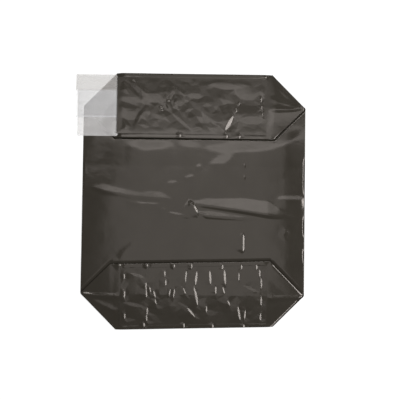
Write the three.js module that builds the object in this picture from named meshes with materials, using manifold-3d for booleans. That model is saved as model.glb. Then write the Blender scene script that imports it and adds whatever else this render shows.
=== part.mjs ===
// Empty block-bottom valve bag of film-faced woven polypropylene, lying flat with its folded ends up.
// Millimetres, +Z up, +Y towards the valve end. The origin is under the middle of the bag, on the surface
// that it lies on. The bag can't be seen into, so its two panels and the air between them are one body.

import * as THREE from "three";
import { ConvexGeometry } from "three/addons/geometries/ConvexGeometry.js";
import { mergeVertices } from "three/addons/utils/BufferGeometryUtils.js";
import Module from "manifold-3d";

const wasm = await Module();
wasm.setup();

// Plan sizes of the folded tube
const BAG_WIDTH = 400; // flat width of the woven tube
const FOLD_SPAN = 336; // between the two end fold lines, where the corner tips are
const END_OUTER = 60; // end fold line to the bag's outer edge
const END_INNER = 57; // end fold line to the edge that lies on the front panel
const FLAP_OVERLAP = 20; // how far the two flaps of an end lie over each other
const BOTTOM_SKEW = THREE.MathUtils.degToRad(1.75); // the bottom end is folded this far askew

// Sheets and the air between them
const FABRIC = 0.3; // one ply of faced fabric
const FILM = 0.15; // one ply of the valve sleeve
const AIR = 0.3; // between two plies that lie on each other
const WELD_LINE = 0.1; // between a cover patch and the flap under it

// Cover patches welded over the flaps
const PATCH_INSET = 7.5; // fold edge to the patch's long edge
const PATCH_SETBACK = 9; // fold corner to the patch's short edge
const VALVE_SETBACK = 1; // the same at the valve corner, where the sleeve comes out
const VALVE_CRUMPLE = 1.4; // height of the crumples in the valve end's patch
const BOTTOM_CRUMPLE = 0.9; // height of the cross creases in the bottom end's patch

// Valve sleeve, a film tube folded flat with the end
const SLEEVE_REACH = 14; // past the corner tip
const SLEEVE_DEPTH = 120; // from the corner tip into the end
const SLEEVE_INSET = 3; // fold edge to the sleeve's own fold
const SLEEVE_INNER_FLAP = 29; // end fold line to the free edge of the sleeve's under flap
const SLEEVE_OUTER_FLAP = 20; // end fold line to the free edge of the sleeve's upper flap
const MOUTH_STEP = 3.5; // the upper flap stands out this far past the other plies

// Relief of the front panel and of the corner pockets
const CROWN = 3.2; // air in the middle of the bag
const WAVE = 0.7; // slack waves across the front panel
const CREASE = 0.8; // height of the packing creases
const CREASE_HALF_WIDTH = 6;
const LENGTHWISE_CREASE_X = 91; // from the bag's middle line
const CROSSWISE_CREASE_Y = -5;
const POCKET_RIDGE = 1.2; // the old side crease, along the middle of a corner pocket

// Mesh steps
const COLUMN_STEP = 18;
const ROW_STEP = 13;
const CRUMPLE_STEP = 7;
const CROSS_CREASE_STEP = 10;
const BEND_SEGMENTS = 4;
const MERGE = 1e-4;

// Heights of the stack, from the surface up
const HALF_WIDTH = BAG_WIDTH / 2;
const TIP_Y = FOLD_SPAN / 2;
const PANELS = 2 * FABRIC + AIR; // front and back panel at the side folds
const PAD_LOW = PANELS + AIR; // the end folded over on the front panel
const PAD_HIGH = PAD_LOW + 2 * FABRIC;
const PAD_MIDDLE = (PAD_LOW + PAD_HIGH) / 2;
const filmHeight = (ply) => PAD_HIGH + AIR + FILM / 2 + ply * (FILM + AIR);
const INNER_FLAP_Z = filmHeight(2) + FILM / 2 + AIR + FABRIC / 2;
const OUTER_FLAP_Z = INNER_FLAP_Z + FABRIC + AIR;
const PATCH_LOW = OUTER_FLAP_Z + FABRIC / 2 + WELD_LINE;

const v2 = (x, y) => new THREE.Vector2(x, y);
const turned = (point, angle) => point.clone().rotateAround(v2(0, 0), angle);

// Each end has a frame of its own: origin on the end fold line, +Y out of the bag.
const VALVE_END = {
  skew: 0,
  leftSetback: VALVE_SETBACK,
  frame: new THREE.Matrix4().makeTranslation(0, TIP_Y, 0),
};
const BOTTOM_END = {
  skew: BOTTOM_SKEW,
  leftSetback: PATCH_SETBACK,
  frame: new THREE.Matrix4().makeRotationZ(Math.PI).setPosition(0, -TIP_Y, 0),
};

// Solids

// A closed geometry as a solid that can be joined and cut.
function solid(geometry) {
  const bare = new THREE.BufferGeometry();
  bare.setAttribute("position", geometry.getAttribute("position"));
  bare.setIndex(geometry.getIndex());
  const merged = mergeVertices(bare, MERGE);
  const vertProperties = merged.getAttribute("position").array;
  const triVerts = new Uint32Array(merged.getIndex().array);
  return new wasm.Manifold(new wasm.Mesh({ numProp: 3, vertProperties, triVerts }));
}

// The same for a geometry made in the frame of an end.
const solidIn = (end, geometry) => solid(geometry.applyMatrix4(end.frame));

function geometryOf(body) {
  const { vertProperties, triVerts } = body.getMesh();
  const geometry = new THREE.BufferGeometry();
  geometry.setAttribute("position", new THREE.BufferAttribute(vertProperties, 3));
  geometry.setIndex(new THREE.BufferAttribute(triVerts, 1));
  geometry.computeVertexNormals();
  return geometry;
}

// A flat plate with fully rounded edges, as a pressed fold has.
function plate(outline, low, high) {
  const bevelThickness = 0.45 * (high - low);
  const depth = high - low - 2 * bevelThickness;
  const bevel = { bevelThickness, bevelSize: bevelThickness, bevelOffset: -bevelThickness, bevelSegments: 2 };
  const geometry = new THREE.ExtrudeGeometry(new THREE.Shape(outline), { depth, ...bevel });
  return geometry.translate(0, 0, low + bevelThickness);
}

// A plan outline as a prism, to cut a piece to that outline.
function planCutter(outline, low, high) {
  const geometry = new THREE.ExtrudeGeometry(new THREE.Shape(outline), { depth: high - low, bevelEnabled: false });
  return geometry.translate(0, 0, low);
}

// A sheet bent along a path in the YZ plane, running straight along X.
function bentSheet(path, thickness, fromX, toX) {
  const line = path.getPoints(BEND_SEGMENTS).filter((p, i, all) => i === 0 || p.distanceTo(all[i - 1]) > MERGE);
  const side = (sign) =>
    line.map((p, i) => {
      const along = v2(0, 0).subVectors(line[Math.min(i + 1, line.length - 1)], line[Math.max(i - 1, 0)]).normalize();
      return v2(p.x - (sign * along.y * thickness) / 2, p.y + (sign * along.x * thickness) / 2);
    });
  const shape = new THREE.Shape([...side(1), ...side(-1).reverse()]);
  const geometry = new THREE.ExtrudeGeometry(shape, { depth: toX - fromX, bevelEnabled: false });
  const yzAlongX = new THREE.Matrix4().makeBasis(
    new THREE.Vector3(0, 1, 0),
    new THREE.Vector3(0, 0, 1),
    new THREE.Vector3(1, 0, 0),
  );
  return geometry.applyMatrix4(yzAlongX).translate(fromX, 0, 0);
}

// A half-round bend that closes a fold: it touches y = foldY and joins two heights, going from one to the other.
function bend(path, foldY, outward, fromZ, toZ, thickness) {
  const radius = Math.abs(toZ - fromZ) / 2;
  const centreY = foldY - outward * (radius + thickness / 2);
  const start = fromZ < toZ ? -Math.PI / 2 : Math.PI / 2;
  path.lineTo(centreY, fromZ);
  path.absarc(centreY, (fromZ + toZ) / 2, radius, start, -start, outward > 0 !== fromZ < toZ);
  return path;
}

// A body lofted over rows of plan segments. On each row, from its left to its right end, the body reaches
// from low(x, y) to high(x, y), and its two sides are rounded out by a nose.
function loft(rows, columns, low, high, nose) {
  const rings = rows.map(({ left, right }) => {
    const inset = v2(0, 0).subVectors(right, left).setLength(nose);
    const from = left.clone().add(inset);
    const to = right.clone().sub(inset);
    const across = columns.map((share) => from.clone().lerp(to, share));
    const middle = (p) => (low(p.x, p.y) + high(p.x, p.y)) / 2;
    return [
      ...across.map((p) => [p.x, p.y, low(p.x, p.y)]),
      [right.x, right.y, middle(to)],
      ...across.map((p) => [p.x, p.y, high(p.x, p.y)]).reverse(),
      [left.x, left.y, middle(from)],
    ];
  });
  const count = columns.length;
  const size = 2 * count + 2;
  const index = [];
  for (let row = 0; row + 1 < rows.length; row++) {
    for (let i = 0; i < size; i++) {
      const [a, b] = [row * size + i, row * size + ((i + 1) % size)];
      index.push(a, a + size, b + size, a, b + size, b);
    }
  }
  const cap = (first, flip) => {
    const face = (a, b, c) => index.push(first + a, first + (flip ? c : b), first + (flip ? b : c));
    for (let i = 0; i + 1 < count; i++) {
      face(i, i + 1, size - 3 - i);
      face(i, size - 3 - i, size - 2 - i);
    }
    face(0, size - 2, size - 1);
    face(count - 1, count, count + 1);
  };
  cap(0, false);
  cap((rows.length - 1) * size, true);
  const geometry = new THREE.BufferGeometry();
  geometry.setAttribute("position", new THREE.Float32BufferAttribute(rings.flat(2), 3));
  geometry.setIndex(index);
  return geometry;
}

const evenly = (from, to, step) => {
  const count = Math.max(2, Math.round(Math.abs(to - from) / step));
  return Array.from({ length: count + 1 }, (_, i) => from + ((to - from) * i) / count);
};
const inOrder = (values) => [...new Set(values)].sort((a, b) => a - b);

// Relief

// 1 in the middle and 0, with no slope, at -1 and 1.
const swell = (t) => (Math.abs(t) < 1 ? (1 - t * t) ** 2 : 0);
// 1 on a crease and 0 past its half width.
const crease = (distance) => Math.max(0, 1 - Math.abs(distance) / CREASE_HALF_WIDTH);
// A wave of flat slopes between -1 and 1.
const zigzag = (t) => 4 * Math.abs(t - Math.floor(t + 0.5)) - 1;
const alongDegrees = (x, y, degrees) => {
  const angle = THREE.MathUtils.degToRad(degrees);
  return x * Math.cos(angle) + y * Math.sin(angle);
};

function frontPanelHeight(x, y) {
  const slack = swell(x / HALF_WIDTH) * swell(y / (TIP_Y - END_INNER));
  const waves = Math.sin(alongDegrees(x, y, 80) / 17) + Math.sin(alongDegrees(x, y, 35) / 26);
  const creases = crease(x - LENGTHWISE_CREASE_X) - crease(y - CROSSWISE_CREASE_Y);
  return PANELS + slack * (CROWN + (WAVE * waves) / 2 + CREASE * creases);
}

// Flat facets that meet in sharp creases, from 0 to 1.
const crumples = (x, y) =>
  (3 +
    zigzag(alongDegrees(x, y, 24) / 44) +
    zigzag(alongDegrees(x, y, 101) / 37) +
    zigzag(alongDegrees(x, y, 152) / 57)) /
  6;
const crossCreases = (x, y) => (2 + zigzag(x / 40) + zigzag(alongDegrees(x, y, 20) / 62)) / 4;

// The folded tube

// A corner of an end's hexagon in the end's frame, where the diagonal fold from a tip, at 45 degrees to the
// end fold line, meets the outer (+1) or inner (-1) fold edge. The side is -1 on the left and 1 on the right.
function corner(end, side, half, inset = 0) {
  const depth = half > 0 ? END_OUTER : END_INNER;
  const slope = half * side * Math.tan(end.skew);
  const reach = (depth - inset + slope * HALF_WIDTH) / (1 + slope);
  return v2(side * (HALF_WIDTH - reach), half * reach);
}

const tip = (side) => v2(side * HALF_WIDTH, 0);

// Front and back panel between the two end fold lines, and the outer halves of the ends, which stand higher.
function panels() {
  const step = AIR; // the front panel turns back at the end fold line within this width
  const outerEdge = OUTER_FLAP_Z / 2; // left to the round bend of the outer flap
  const outerRows = (end) =>
    [step / END_OUTER, 0.5, 1].map((share) => {
      const point = (side) => {
        const p = tip(side).lerp(corner(end, side, 1, outerEdge), share);
        return new THREE.Vector3(p.x, p.y, 0).applyMatrix4(end.frame);
      };
      const ends = [point(-1), point(1)].sort((a, b) => a.x - b.x);
      return { left: v2(ends[0].x, ends[0].y), right: v2(ends[1].x, ends[1].y) };
    });
  const clear = TIP_Y - END_INNER;
  const creaseRows = [-1, 0, 1].map((k) => CROSSWISE_CREASE_Y + k * CREASE_HALF_WIDTH);
  const ys = inOrder([step - TIP_Y, ...evenly(-clear, clear, ROW_STEP), ...creaseRows, TIP_Y - step]);
  const panelRows = ys.map((y) => ({ left: v2(-HALF_WIDTH, y), right: v2(HALF_WIDTH, y) }));
  const creaseColumns = [-1, 0, 1].map((k) => LENGTHWISE_CREASE_X + k * CREASE_HALF_WIDTH);
  const xs = inOrder([...evenly(-HALF_WIDTH, HALF_WIDTH, COLUMN_STEP), ...creaseColumns]);
  const columns = xs.map((x) => (x + HALF_WIDTH) / BAG_WIDTH);
  const rows = [...outerRows(BOTTOM_END).reverse(), ...panelRows, ...outerRows(VALVE_END)];
  const high = (x, y) => (Math.abs(y) > TIP_Y ? PAD_MIDDLE - WELD_LINE : frontPanelHeight(x, y));
  return solid(loft(rows, columns, () => 0, high, PANELS / 2));
}

// The hexagon of an end, folded over on the front panel and open to it under its inner half.
function pad(end) {
  const inset = FABRIC; // inside the round bends of the flaps
  const point = (side, half) => corner(end, side, half, inset);
  const outline = [tip(-1), point(-1, -1), point(1, -1), tip(1), point(1, 1), point(-1, 1)];
  return solidIn(end, plate(outline, PAD_LOW, PAD_HIGH));
}

// A corner pocket: a low tent from the tip, with the tube's old side crease along its ridge.
function pocket(end, side) {
  const depth = END_OUTER + END_INNER + FLAP_OVERLAP / 2;
  const base = [tip(side)];
  const ridge = [];
  for (const half of [-1, 1]) {
    const near = corner(end, side, half, FABRIC);
    base.push(near, v2(side * (HALF_WIDTH - depth), near.y));
  }
  for (const reach of [END_INNER, depth]) ridge.push(v2(side * (HALF_WIDTH - reach), 0));
  const points = [
    ...base.map((p) => new THREE.Vector3(p.x, p.y, PAD_MIDDLE)),
    ...ridge.map((p) => new THREE.Vector3(p.x, p.y, PAD_HIGH + POCKET_RIDGE)),
  ];
  return solidIn(end, new ConvexGeometry(points));
}

// A flap: a bend round one fold edge and a sheet back over the end, with its ends cut in at 45 degrees.
function flap(end, half) {
  const foldY = half > 0 ? END_OUTER : -END_INNER;
  const [fromZ, toZ] = half > 0 ? [FABRIC / 2, OUTER_FLAP_Z] : [PAD_MIDDLE, INNER_FLAP_Z];
  const freeY = (END_OUTER - END_INNER - half * FLAP_OVERLAP) / 2;
  const path = new THREE.Path();
  path.moveTo(foldY - half * (toZ + AIR), fromZ);
  bend(path, foldY, half, fromZ, toZ, FABRIC).lineTo(freeY, toZ);
  const sheet = bentSheet(path, FABRIC, -HALF_WIDTH, HALF_WIDTH).rotateZ(end.skew);
  const length = Math.abs(foldY - freeY);
  const free = (side) => turned(v2(-side * length, -half * length), end.skew).add(corner(end, side, half));
  const outline = [corner(end, -1, half), corner(end, 1, half), free(1), free(-1)];
  return solidIn(end, sheet).intersect(solidIn(end, planCutter(outline, -AIR, PATCH_LOW)));
}

function bagTube() {
  let tube = panels();
  for (const end of [VALVE_END, BOTTOM_END]) {
    const pockets = end === VALVE_END ? [1] : [-1, 1]; // the valve corner is pressed flat by the sleeve
    const pieces = [pad(end), flap(end, -1), flap(end, 1), ...pockets.map((side) => pocket(end, side))];
    for (const piece of pieces) tube = tube.add(piece);
  }
  return geometryOf(tube);
}

// The other pieces

// A sheet welded over the flaps of an end, in that end's frame.
function coverPatch(end, relief, height, step) {
  const edge = (side) => {
    const corners = [-1, 1].map((half) => turned(corner(end, side, half), -end.skew).x);
    return side < 0 ? Math.max(...corners) + end.leftSetback : Math.min(...corners) - PATCH_SETBACK;
  };
  const [left, right] = [edge(-1), edge(1)];
  const [near, far] = [PATCH_INSET - END_INNER, END_OUTER - PATCH_INSET];
  const rows = evenly(near, far, step).map((y) => ({
    left: turned(v2(left, y), end.skew),
    right: turned(v2(right, y), end.skew),
  }));
  const columns = evenly(0, 1, step / (right - left));
  const low = (x, y) => {
    const p = turned(v2(x, y), -end.skew);
    const fromMiddle = [(2 * p.x - left - right) / (right - left), (2 * p.y - near - far) / (far - near)];
    const held = fromMiddle.map((t) => 1 - t ** 8); // the welded border stays down
    return PATCH_LOW + height * relief(p.x, p.y) * held[0] * held[1];
  };
  return loft(rows, columns, low, (x, y) => low(x, y) + FABRIC, FABRIC / 2).applyMatrix4(end.frame);
}

// Film folded to a flat tube with overlapping edges. Its mouth stands out past the valve corner.
function valveSleeve() {
  const [base, under, upper] = [0, 1, 2].map(filmHeight);
  const path = new THREE.Path();
  path.moveTo(SLEEVE_INNER_FLAP, under);
  bend(path, SLEEVE_INSET - END_INNER, -1, under, base, FILM);
  bend(path, END_OUTER - SLEEVE_INSET, 1, base, upper, FILM).lineTo(-SLEEVE_OUTER_FLAP, upper);
  const mouth = -HALF_WIDTH - SLEEVE_REACH;
  const tube = solid(bentSheet(path, FILM, mouth, SLEEVE_DEPTH - HALF_WIDTH));
  const lowerPlies = (under + upper) / 2;
  const trim = new THREE.BoxGeometry(2 * MOUTH_STEP, 2 * (END_OUTER + END_INNER), 2 * lowerPlies);
  return geometryOf(tube.subtract(solid(trim.translate(mouth, 0, 0)))).applyMatrix4(VALVE_END.frame);
}

// Materials and the finished bag

const charcoalFabric = () => new THREE.MeshStandardMaterial({ color: 0x484541, roughness: 0.38, metalness: 0 });
const clearFilm = () =>
  new THREE.MeshStandardMaterial({ color: 0xd8d6d2, roughness: 0.25, metalness: 0, transparent: true, opacity: 0.4 });

function piece(name, geometry, material) {
  const mesh = new THREE.Mesh(geometry, material);
  mesh.name = name;
  return mesh;
}

const bag = new THREE.Group();
bag.name = "valve_bag";
bag.add(piece("bag_tube", bagTube(), charcoalFabric()));
bag.add(piece("valve_end_patch", coverPatch(VALVE_END, crumples, VALVE_CRUMPLE, CRUMPLE_STEP), charcoalFabric()));
bag.add(
  piece("bottom_end_patch", coverPatch(BOTTOM_END, crossCreases, BOTTOM_CRUMPLE, CROSS_CREASE_STEP), charcoalFabric()),
);
bag.add(piece("valve_sleeve", valveSleeve(), clearFilm()));

export default bag;
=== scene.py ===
"""Dresses the flat block-bottom valve bag: the folded tube, its two cover patches and the film sleeve.

Plan sizes are in millimetres in the frame of the part, with the valve end at +Y. Meshes are in metres.
"""
import math
import random

import bmesh
import bpy
import numpy as np
from mathutils import Matrix, Vector
from mathutils.geometry import delaunay_2d_cdt

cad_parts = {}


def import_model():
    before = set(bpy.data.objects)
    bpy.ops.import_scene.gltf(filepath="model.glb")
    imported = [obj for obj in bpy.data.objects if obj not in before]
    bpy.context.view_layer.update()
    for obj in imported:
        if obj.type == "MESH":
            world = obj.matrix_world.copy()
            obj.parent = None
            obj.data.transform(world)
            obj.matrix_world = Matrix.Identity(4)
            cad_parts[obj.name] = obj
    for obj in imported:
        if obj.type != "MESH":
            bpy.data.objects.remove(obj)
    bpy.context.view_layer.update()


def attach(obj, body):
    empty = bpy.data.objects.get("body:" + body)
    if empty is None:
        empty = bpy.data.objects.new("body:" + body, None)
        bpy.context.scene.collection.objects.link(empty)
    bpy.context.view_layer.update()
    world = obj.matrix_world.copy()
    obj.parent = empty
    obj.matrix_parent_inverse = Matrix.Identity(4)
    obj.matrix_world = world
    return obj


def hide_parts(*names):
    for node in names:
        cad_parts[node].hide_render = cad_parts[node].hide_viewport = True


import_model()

MM = 0.001

# Plan of the folded tube
HALF_WIDTH = 200.0
TIP_Y = 168.0
END_OUTER = 60.0
END_INNER = 57.0
FLAP_REACH = 68.5
BOTTOM_SKEW = math.tan(math.radians(1.75))

# Heights of the plies, and the room between a ply and one that lies over it
FABRIC = 0.3
PANELS = 0.9
AIR = 2.2
PAD_LOW = 1.3
PAD_HIGH = 1.9
INNER_FLAP = 2.35
OUTER_FLAP = 2.75
FILM = 0.1
FILM_STEP = 0.2
FILM_ROOM = 0.12
SLEEVE_LIFT = 4 * FILM_STEP
ROOM = 0.1

# Bends at the edges of the ends: depth, its greatest share of an end, and where some get looser
NOSE = 1.1
NOSE_SHARE = 0.45
LOOSE_X = 140
LOOSE_RUN = 8

# Runs over which the tips and the flaps gain height, and the front panel rises beside the ends
TENT_RUN = 70
TIP_RUN = 2
FLAP_RUN = 14
VALVE_WALL = 3.2
SLANTED_WALL = 4.5
BOTTOM_WALL = 6.0

# Points across the ends, as counts, shares or distances
BEND_POINTS = 9
UNDER_FLAP_POINTS = 6
PAD_POINTS = 42
PANEL_POINTS = 100
UNDER_END = (0.75, 0.5, 0.25, 0.08)
BESIDE_END = (0.0, 0.5, 0.9, 1.2, 1.5, 1.9, 2.3, 2.8, 3.4, 4.1, 5.0, 6.2)
PAST_BESIDE = 8
SHORT_OF_FOLD = 0.2
FLAP_POINTS = np.array([0, 0.02, 0.04, 0.06, 0.08, 0.1, 0.12, 0.15, 0.25, 0.5, 0.75, 1.0])

# Cover patches
PATCH_INSET = 7.5
PATCH_LIFT = 0.08
PATCH_GRID = (360, 102)
VALVE_PATCH_X = (-139.0, 130.0)
VALVE_LEVEL = 0.95
BOTTOM_PATCH_X = (-129.0, 133.0)

# Valve sleeve
SLEEVE_MOUTH_X = -210.5
SLEEVE_LIP = 3.0
SLEEVE_LIP_X = -195
EDGE_LIFT = 0.8
EDGE_RUN = 5
SLEEVE_INNER_X = -95.0
SLEEVE_INSET = 3.0
UNDER_FLAP_Y = 196.7
UPPER_FLAP_Y = 147.6

# What hangs over the bag, as places along it in metres: bright strip, broad lamp and past its edge
LIGHT = 0.336
PLAIN = 0.58
DARK = 0.78

# Place that a facet mirrors, in metres: a multiple of its own place, a shift and a multiple of its slope
MIRROR_PLACE = 2.6
MIRROR_SHIFT = 0.042
MIRROR_SLOPE = 3.2

# Slope across the bag that mirrors the lamp at the side: its change with x, and its gain for narrow strips
SIDE_SLOPE = 0.315
SIDE_CHANGE = 0.0008
NARROW_GAIN = 0.6

# Fabric and film, with their fine reliefs
TAPE = 2.5
TAPE_RELIEF = 0.005
RIPPLE_RELIEF = 0.2
FILM_RELIEF = 0.3
FABRIC_TONES = ((0.0262, 0.0226, 0.017), (0.031, 0.027, 0.0208))
FACING_TINT = (1.0, 0.92, 0.87)
CLEAR_COLOUR = (0.9, 0.88, 0.87)
# The upper film ply is darker beyond the free edge of the lower part, as painted shade, and paler over the
# lower part, as painted light that makes up for the light lost under it
MILKY_AND_PAINTED_SHADE_COLOUR = (0.63, 0.605, 0.58)
PAINTED_LIGHT_FILM_COLOUR = (0.97, 0.97, 0.98)
OVERLAP_SHARE = 0.32
RIM_SHARE = 0.4
FILM_STREAKS = (20, 130, 1)
FILM_ROUGHNESS = (0.08, 0.14)

# Raster over the plan, on which reliefs are drawn
GRAIN = 0.5
RASTER_X = np.arange(-216.0, 207.0, GRAIN)
RASTER_Y = np.arange(-240.0, 241.0, GRAIN)
X, Y = np.meshgrid(RASTER_X, RASTER_Y)

# Tolerances of nets over the plan, and how points are strewn for them
TINY = 1e-9
SNAP = 1e-6
SLIVER = 1e-3
SCATTER_TRIES = 4000
SCATTER_ROOM = (0.7, 1.6)


def step(t):
    """0 up to 0, 1 from 1, and smooth between."""
    t = np.clip(t, 0, 1)
    return t * t * (3 - 2 * t)


def sampled(field, x, y):
    """Reads a raster between its points."""
    across = np.clip((np.asarray(x, float) - RASTER_X[0]) / GRAIN, 0, len(RASTER_X) - 1.001)
    up = np.clip((np.asarray(y, float) - RASTER_Y[0]) / GRAIN, 0, len(RASTER_Y) - 1.001)
    i, j = across.astype(int), up.astype(int)
    u, v = across - i, up - j
    low = field[j, i] * (1 - u) + field[j, i + 1] * u
    high = field[j + 1, i] * (1 - u) + field[j + 1, i + 1] * u
    return low * (1 - v) + high * v


def blurred(field, radius):
    """Softens a raster by a Gaussian of that radius, in millimetres."""
    reach = max(1, int(3 * radius / GRAIN))
    kernel = np.exp(-0.5 * (np.arange(-reach, reach + 1) * GRAIN / radius) ** 2)
    kernel /= kernel.sum()
    for axis in (0, 1):
        padding = [(reach, reach) if a == axis else (0, 0) for a in (0, 1)]
        padded = np.pad(field, padding, mode="edge")
        field = np.apply_along_axis(np.convolve, axis, padded, kernel, mode="valid")
    return field


def spread(field, reach):
    """The highest value of a raster within a reach, in millimetres."""
    for axis in (0, 1):
        shifts = [int(k / GRAIN) for k in range(-reach, reach + 1)]
        field = np.max([np.roll(field, k, axis) for k in shifts], axis=0)
    return field


def window(low_x, low_y, high_x, high_y):
    """The part of the raster inside a box."""
    columns = np.where((RASTER_X >= low_x) & (RASTER_X <= high_x))[0]
    rows = np.where((RASTER_Y >= low_y) & (RASTER_Y <= high_y))[0]
    return np.ix_(rows, columns)


def around(line, reach):
    """The part of the raster within a reach of the box around a polyline."""
    xs, ys = [p[0] for p in line], [p[1] for p in line]
    return window(min(xs) - reach, min(ys) - reach, max(xs) + reach, max(ys) + reach)


def in_box(box):
    """Which points of the raster are inside a box."""
    return (X > box[0]) & (X < box[2]) & (Y > box[1]) & (Y < box[3])


def inset(points, box):
    """How far points are inside a box."""
    return np.minimum(points - box[:2], box[2:] - points).min(axis=1)


def near_line(line, x, y):
    """Signed distance from a polyline, positive on its left, and how far along it the nearest point is."""
    line = [np.array(p, float) for p in line]
    moves = [b - a for a, b in zip(line, line[1:])]
    total = sum(np.hypot(*m) for m in moves)
    nearest = np.full(x.shape, np.inf)
    signed = np.zeros(x.shape)
    share = np.zeros(x.shape)
    done = 0.0
    for start, move in zip(line, moves):
        length = np.hypot(*move)
        t = np.clip(((x - start[0]) * move[0] + (y - start[1]) * move[1]) / length**2, 0, 1)
        off_x = x - start[0] - t * move[0]
        off_y = y - start[1] - t * move[1]
        distance = np.hypot(off_x, off_y)
        closer = distance < nearest
        nearest = np.where(closer, distance, nearest)
        left = np.where(move[0] * off_y - move[1] * off_x >= 0, 1.0, -1.0)
        signed = np.where(closer, distance * left, signed)
        share = np.where(closer, (done + t * length) / total, share)
        done += length
    return signed, share


def in_strip(line, low, high, x, y):
    """Which points are beside a polyline, between two distances to its left."""
    signed, share = near_line(line, x, y)
    return (signed > low) & (signed < high) & (share > 0) & (share < 1)


def add_ridge(field, line, height, left, right=None, ends=0.3, sharp=False):
    """Adds a ridge along a polyline, that falls off over one width on its left and another on its right.

    A sharp ridge has straight sides and narrows to its ends. Another is rounded and only gets lower there.
    """
    right = left if right is None else right
    part = around(line, max(left, right))
    signed, share = near_line(line, X[part], Y[part])
    taper = np.clip(np.minimum(share, 1 - share) / ends, 0, 1)
    taper = taper * (2 - taper)
    narrow = np.maximum(taper, 0.05) if sharp else 1.0
    fall = np.clip(1 - np.abs(signed) / (narrow * np.where(signed > 0, left, right)), 0, 1)
    field[part] += height * taper * (fall if sharp else step(fall))


def twice_area(a, b, c):
    """Twice the signed area of a triangle."""
    return (b[0] - a[0]) * (c[1] - a[1]) - (c[0] - a[0]) * (b[1] - a[1])


def net(points, edges=()):
    """Delaunay net of points in the plan. Edges are kept as creases. Slivers are left out."""
    points = [Vector(p) for p in points]
    corners, _, triangles, origin, _, _ = delaunay_2d_cdt(points, list(edges), [], 0, SNAP)
    corners = np.array([tuple(p) for p in corners])
    triangles = np.array(triangles)
    sound = np.abs(twice_area(*np.moveaxis(corners[triangles], 0, 2))) > SLIVER
    return corners, triangles[sound], origin


def filled(corners, triangles, level):
    """Relief of the flat triangles of a net."""
    field = np.zeros(X.shape)
    for triangle in triangles:
        a, b, c = corners[triangle]
        part = window(*corners[triangle].min(axis=0), *corners[triangle].max(axis=0))
        p = X[part], Y[part]
        wb = twice_area(a, p, c) / twice_area(a, b, c)
        wc = twice_area(a, b, p) / twice_area(a, b, c)
        inside = (wb >= -TINY) & (wc >= -TINY) & (wb + wc <= 1 + TINY)
        low, middle, high = (level[corner] for corner in triangle)
        field[part] = np.where(inside, low * (1 - wb - wc) + middle * wb + high * wc, field[part])
    return field


def scattered(region, spacing, seed, taken=None):
    """Points strewn over a box, not closer than about a spacing and not where the raster is taken."""
    scatter = random.Random(seed)
    x0, y0, x1, y1 = region
    points = []
    for _ in range(SCATTER_TRIES):
        p = (scatter.uniform(x0, x1), scatter.uniform(y0, y1))
        room = spacing * scatter.uniform(*SCATTER_ROOM)
        cell = round((p[1] - RASTER_Y[0]) / GRAIN), round((p[0] - RASTER_X[0]) / GRAIN)
        free = taken is None or not taken[cell]
        if free and all(math.hypot(p[0] - q[0], p[1] - q[1]) > room for q in points):
            points.append(p)
    return points


FACET_LEVELS = (0.0, 0.15, 0.5, 0.85, 1.0)


def facets(region, spacing, relief, seed):
    """Flat facets of random height, up to a relief, that meet in creases."""
    corners, triangles, _ = net(scattered(region, spacing, seed))
    scatter = random.Random(seed)
    level = [relief * scatter.choice(FACET_LEVELS) for _ in corners]
    return filled(corners, triangles, level)


def stations(line, shares):
    """Points along a polyline and the directions to its left there."""
    line = np.array(line, float)
    along = np.array(shares) * (len(line) - 1)
    spine = np.stack([np.interp(along, np.arange(len(line)), line[:, k]) for k in (0, 1)], 1)
    heading = np.gradient(spine, axis=0)
    left = np.stack((-heading[:, 1], heading[:, 0]), 1) / np.linalg.norm(heading, axis=1, keepdims=True)
    return spine, left


def mark(taken, line, low, high):
    """Marks the raster beside a line, between two distances to its left and a little past them."""
    past = 3
    part = around(line, max(-low, high) + past + 1)
    taken[part] |= in_strip(line, low - past, high + past, X[part], Y[part])


# Folds, which are lenses of facets along a line
LENS_SHARES = (0, 0.22, 0.5, 0.78, 1)
LENS_WIDTHS = (0.62, 1.0, 0.62)
FOLD_SPACING = 14
FOLD_SEED = 1


def folded(region, folds):
    """Flat facets along folds. A fold is a line with heights at distances to its left."""
    points, heights, edges = [], [], []
    taken = np.zeros(X.shape, bool)
    for line, profile in folds:
        offsets = [offset for offset, _ in profile]
        mark(taken, line, min(offsets), max(offsets))
        spine, left = stations(line, LENS_SHARES)
        first = len(points)
        points += [tuple(spine[0]), tuple(spine[-1])]
        heights += [0.0, 0.0]
        for offset, height in profile:
            at = len(points)
            for k, narrow in enumerate(LENS_WIDTHS, 1):
                points.append(tuple(spine[k] + offset * narrow * left[k]))
                heights.append(height * narrow)
            edges += [(first, at), (at, at + 1), (at + 1, at + 2), (at + 2, first + 1)]
    strewn = scattered(region, FOLD_SPACING, FOLD_SEED, taken)
    heights += [0.0] * len(strewn)
    corners, triangles, origin = net(points + strewn, edges)
    return filled(corners, triangles, [heights[o[0]] if o else 0.0 for o in origin])


def side_slope(x, width):
    """Slope across the bag at which a strip at x mirrors the lamp at the side."""
    return (SIDE_SLOPE - SIDE_CHANGE * x) * (1 + NARROW_GAIN / width**2)


def crest(line, width, back=9.0):
    """A fold for folded. The facet on its left mirrors the lamp at the side and dips at its lower edge."""
    (x0, y0), (x1, y1) = line[0], line[-1]
    sideways = (y0 - y1) / math.hypot(x1 - x0, y1 - y0)
    drop = side_slope(x0, width) / max(sideways, 0.6) * width
    top, dip = 0.65 * drop, -0.35 * drop
    return line, [(-back, 0.0), (0.0, top), (width, dip), (width + 0.6 * back, 0.0)]


def dots(spots, half, width):
    """Short crests down through each spot."""
    return [crest(((x, y + half), (x, y - half)), width, 11.0) for x, y in spots]


def glint(line, width):
    """A strip for crumpled, level along its line, whose slope across mirrors the lamp at the side."""
    return line, width / 2, -side_slope(line[0][0], width)


def rise(y, seen):
    """Slope along the bag at which a facet at y mirrors a place along it at the height of the lamps."""
    return (MIRROR_PLACE * y * MM + MIRROR_SHIFT - seen) / MIRROR_SLOPE


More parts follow.
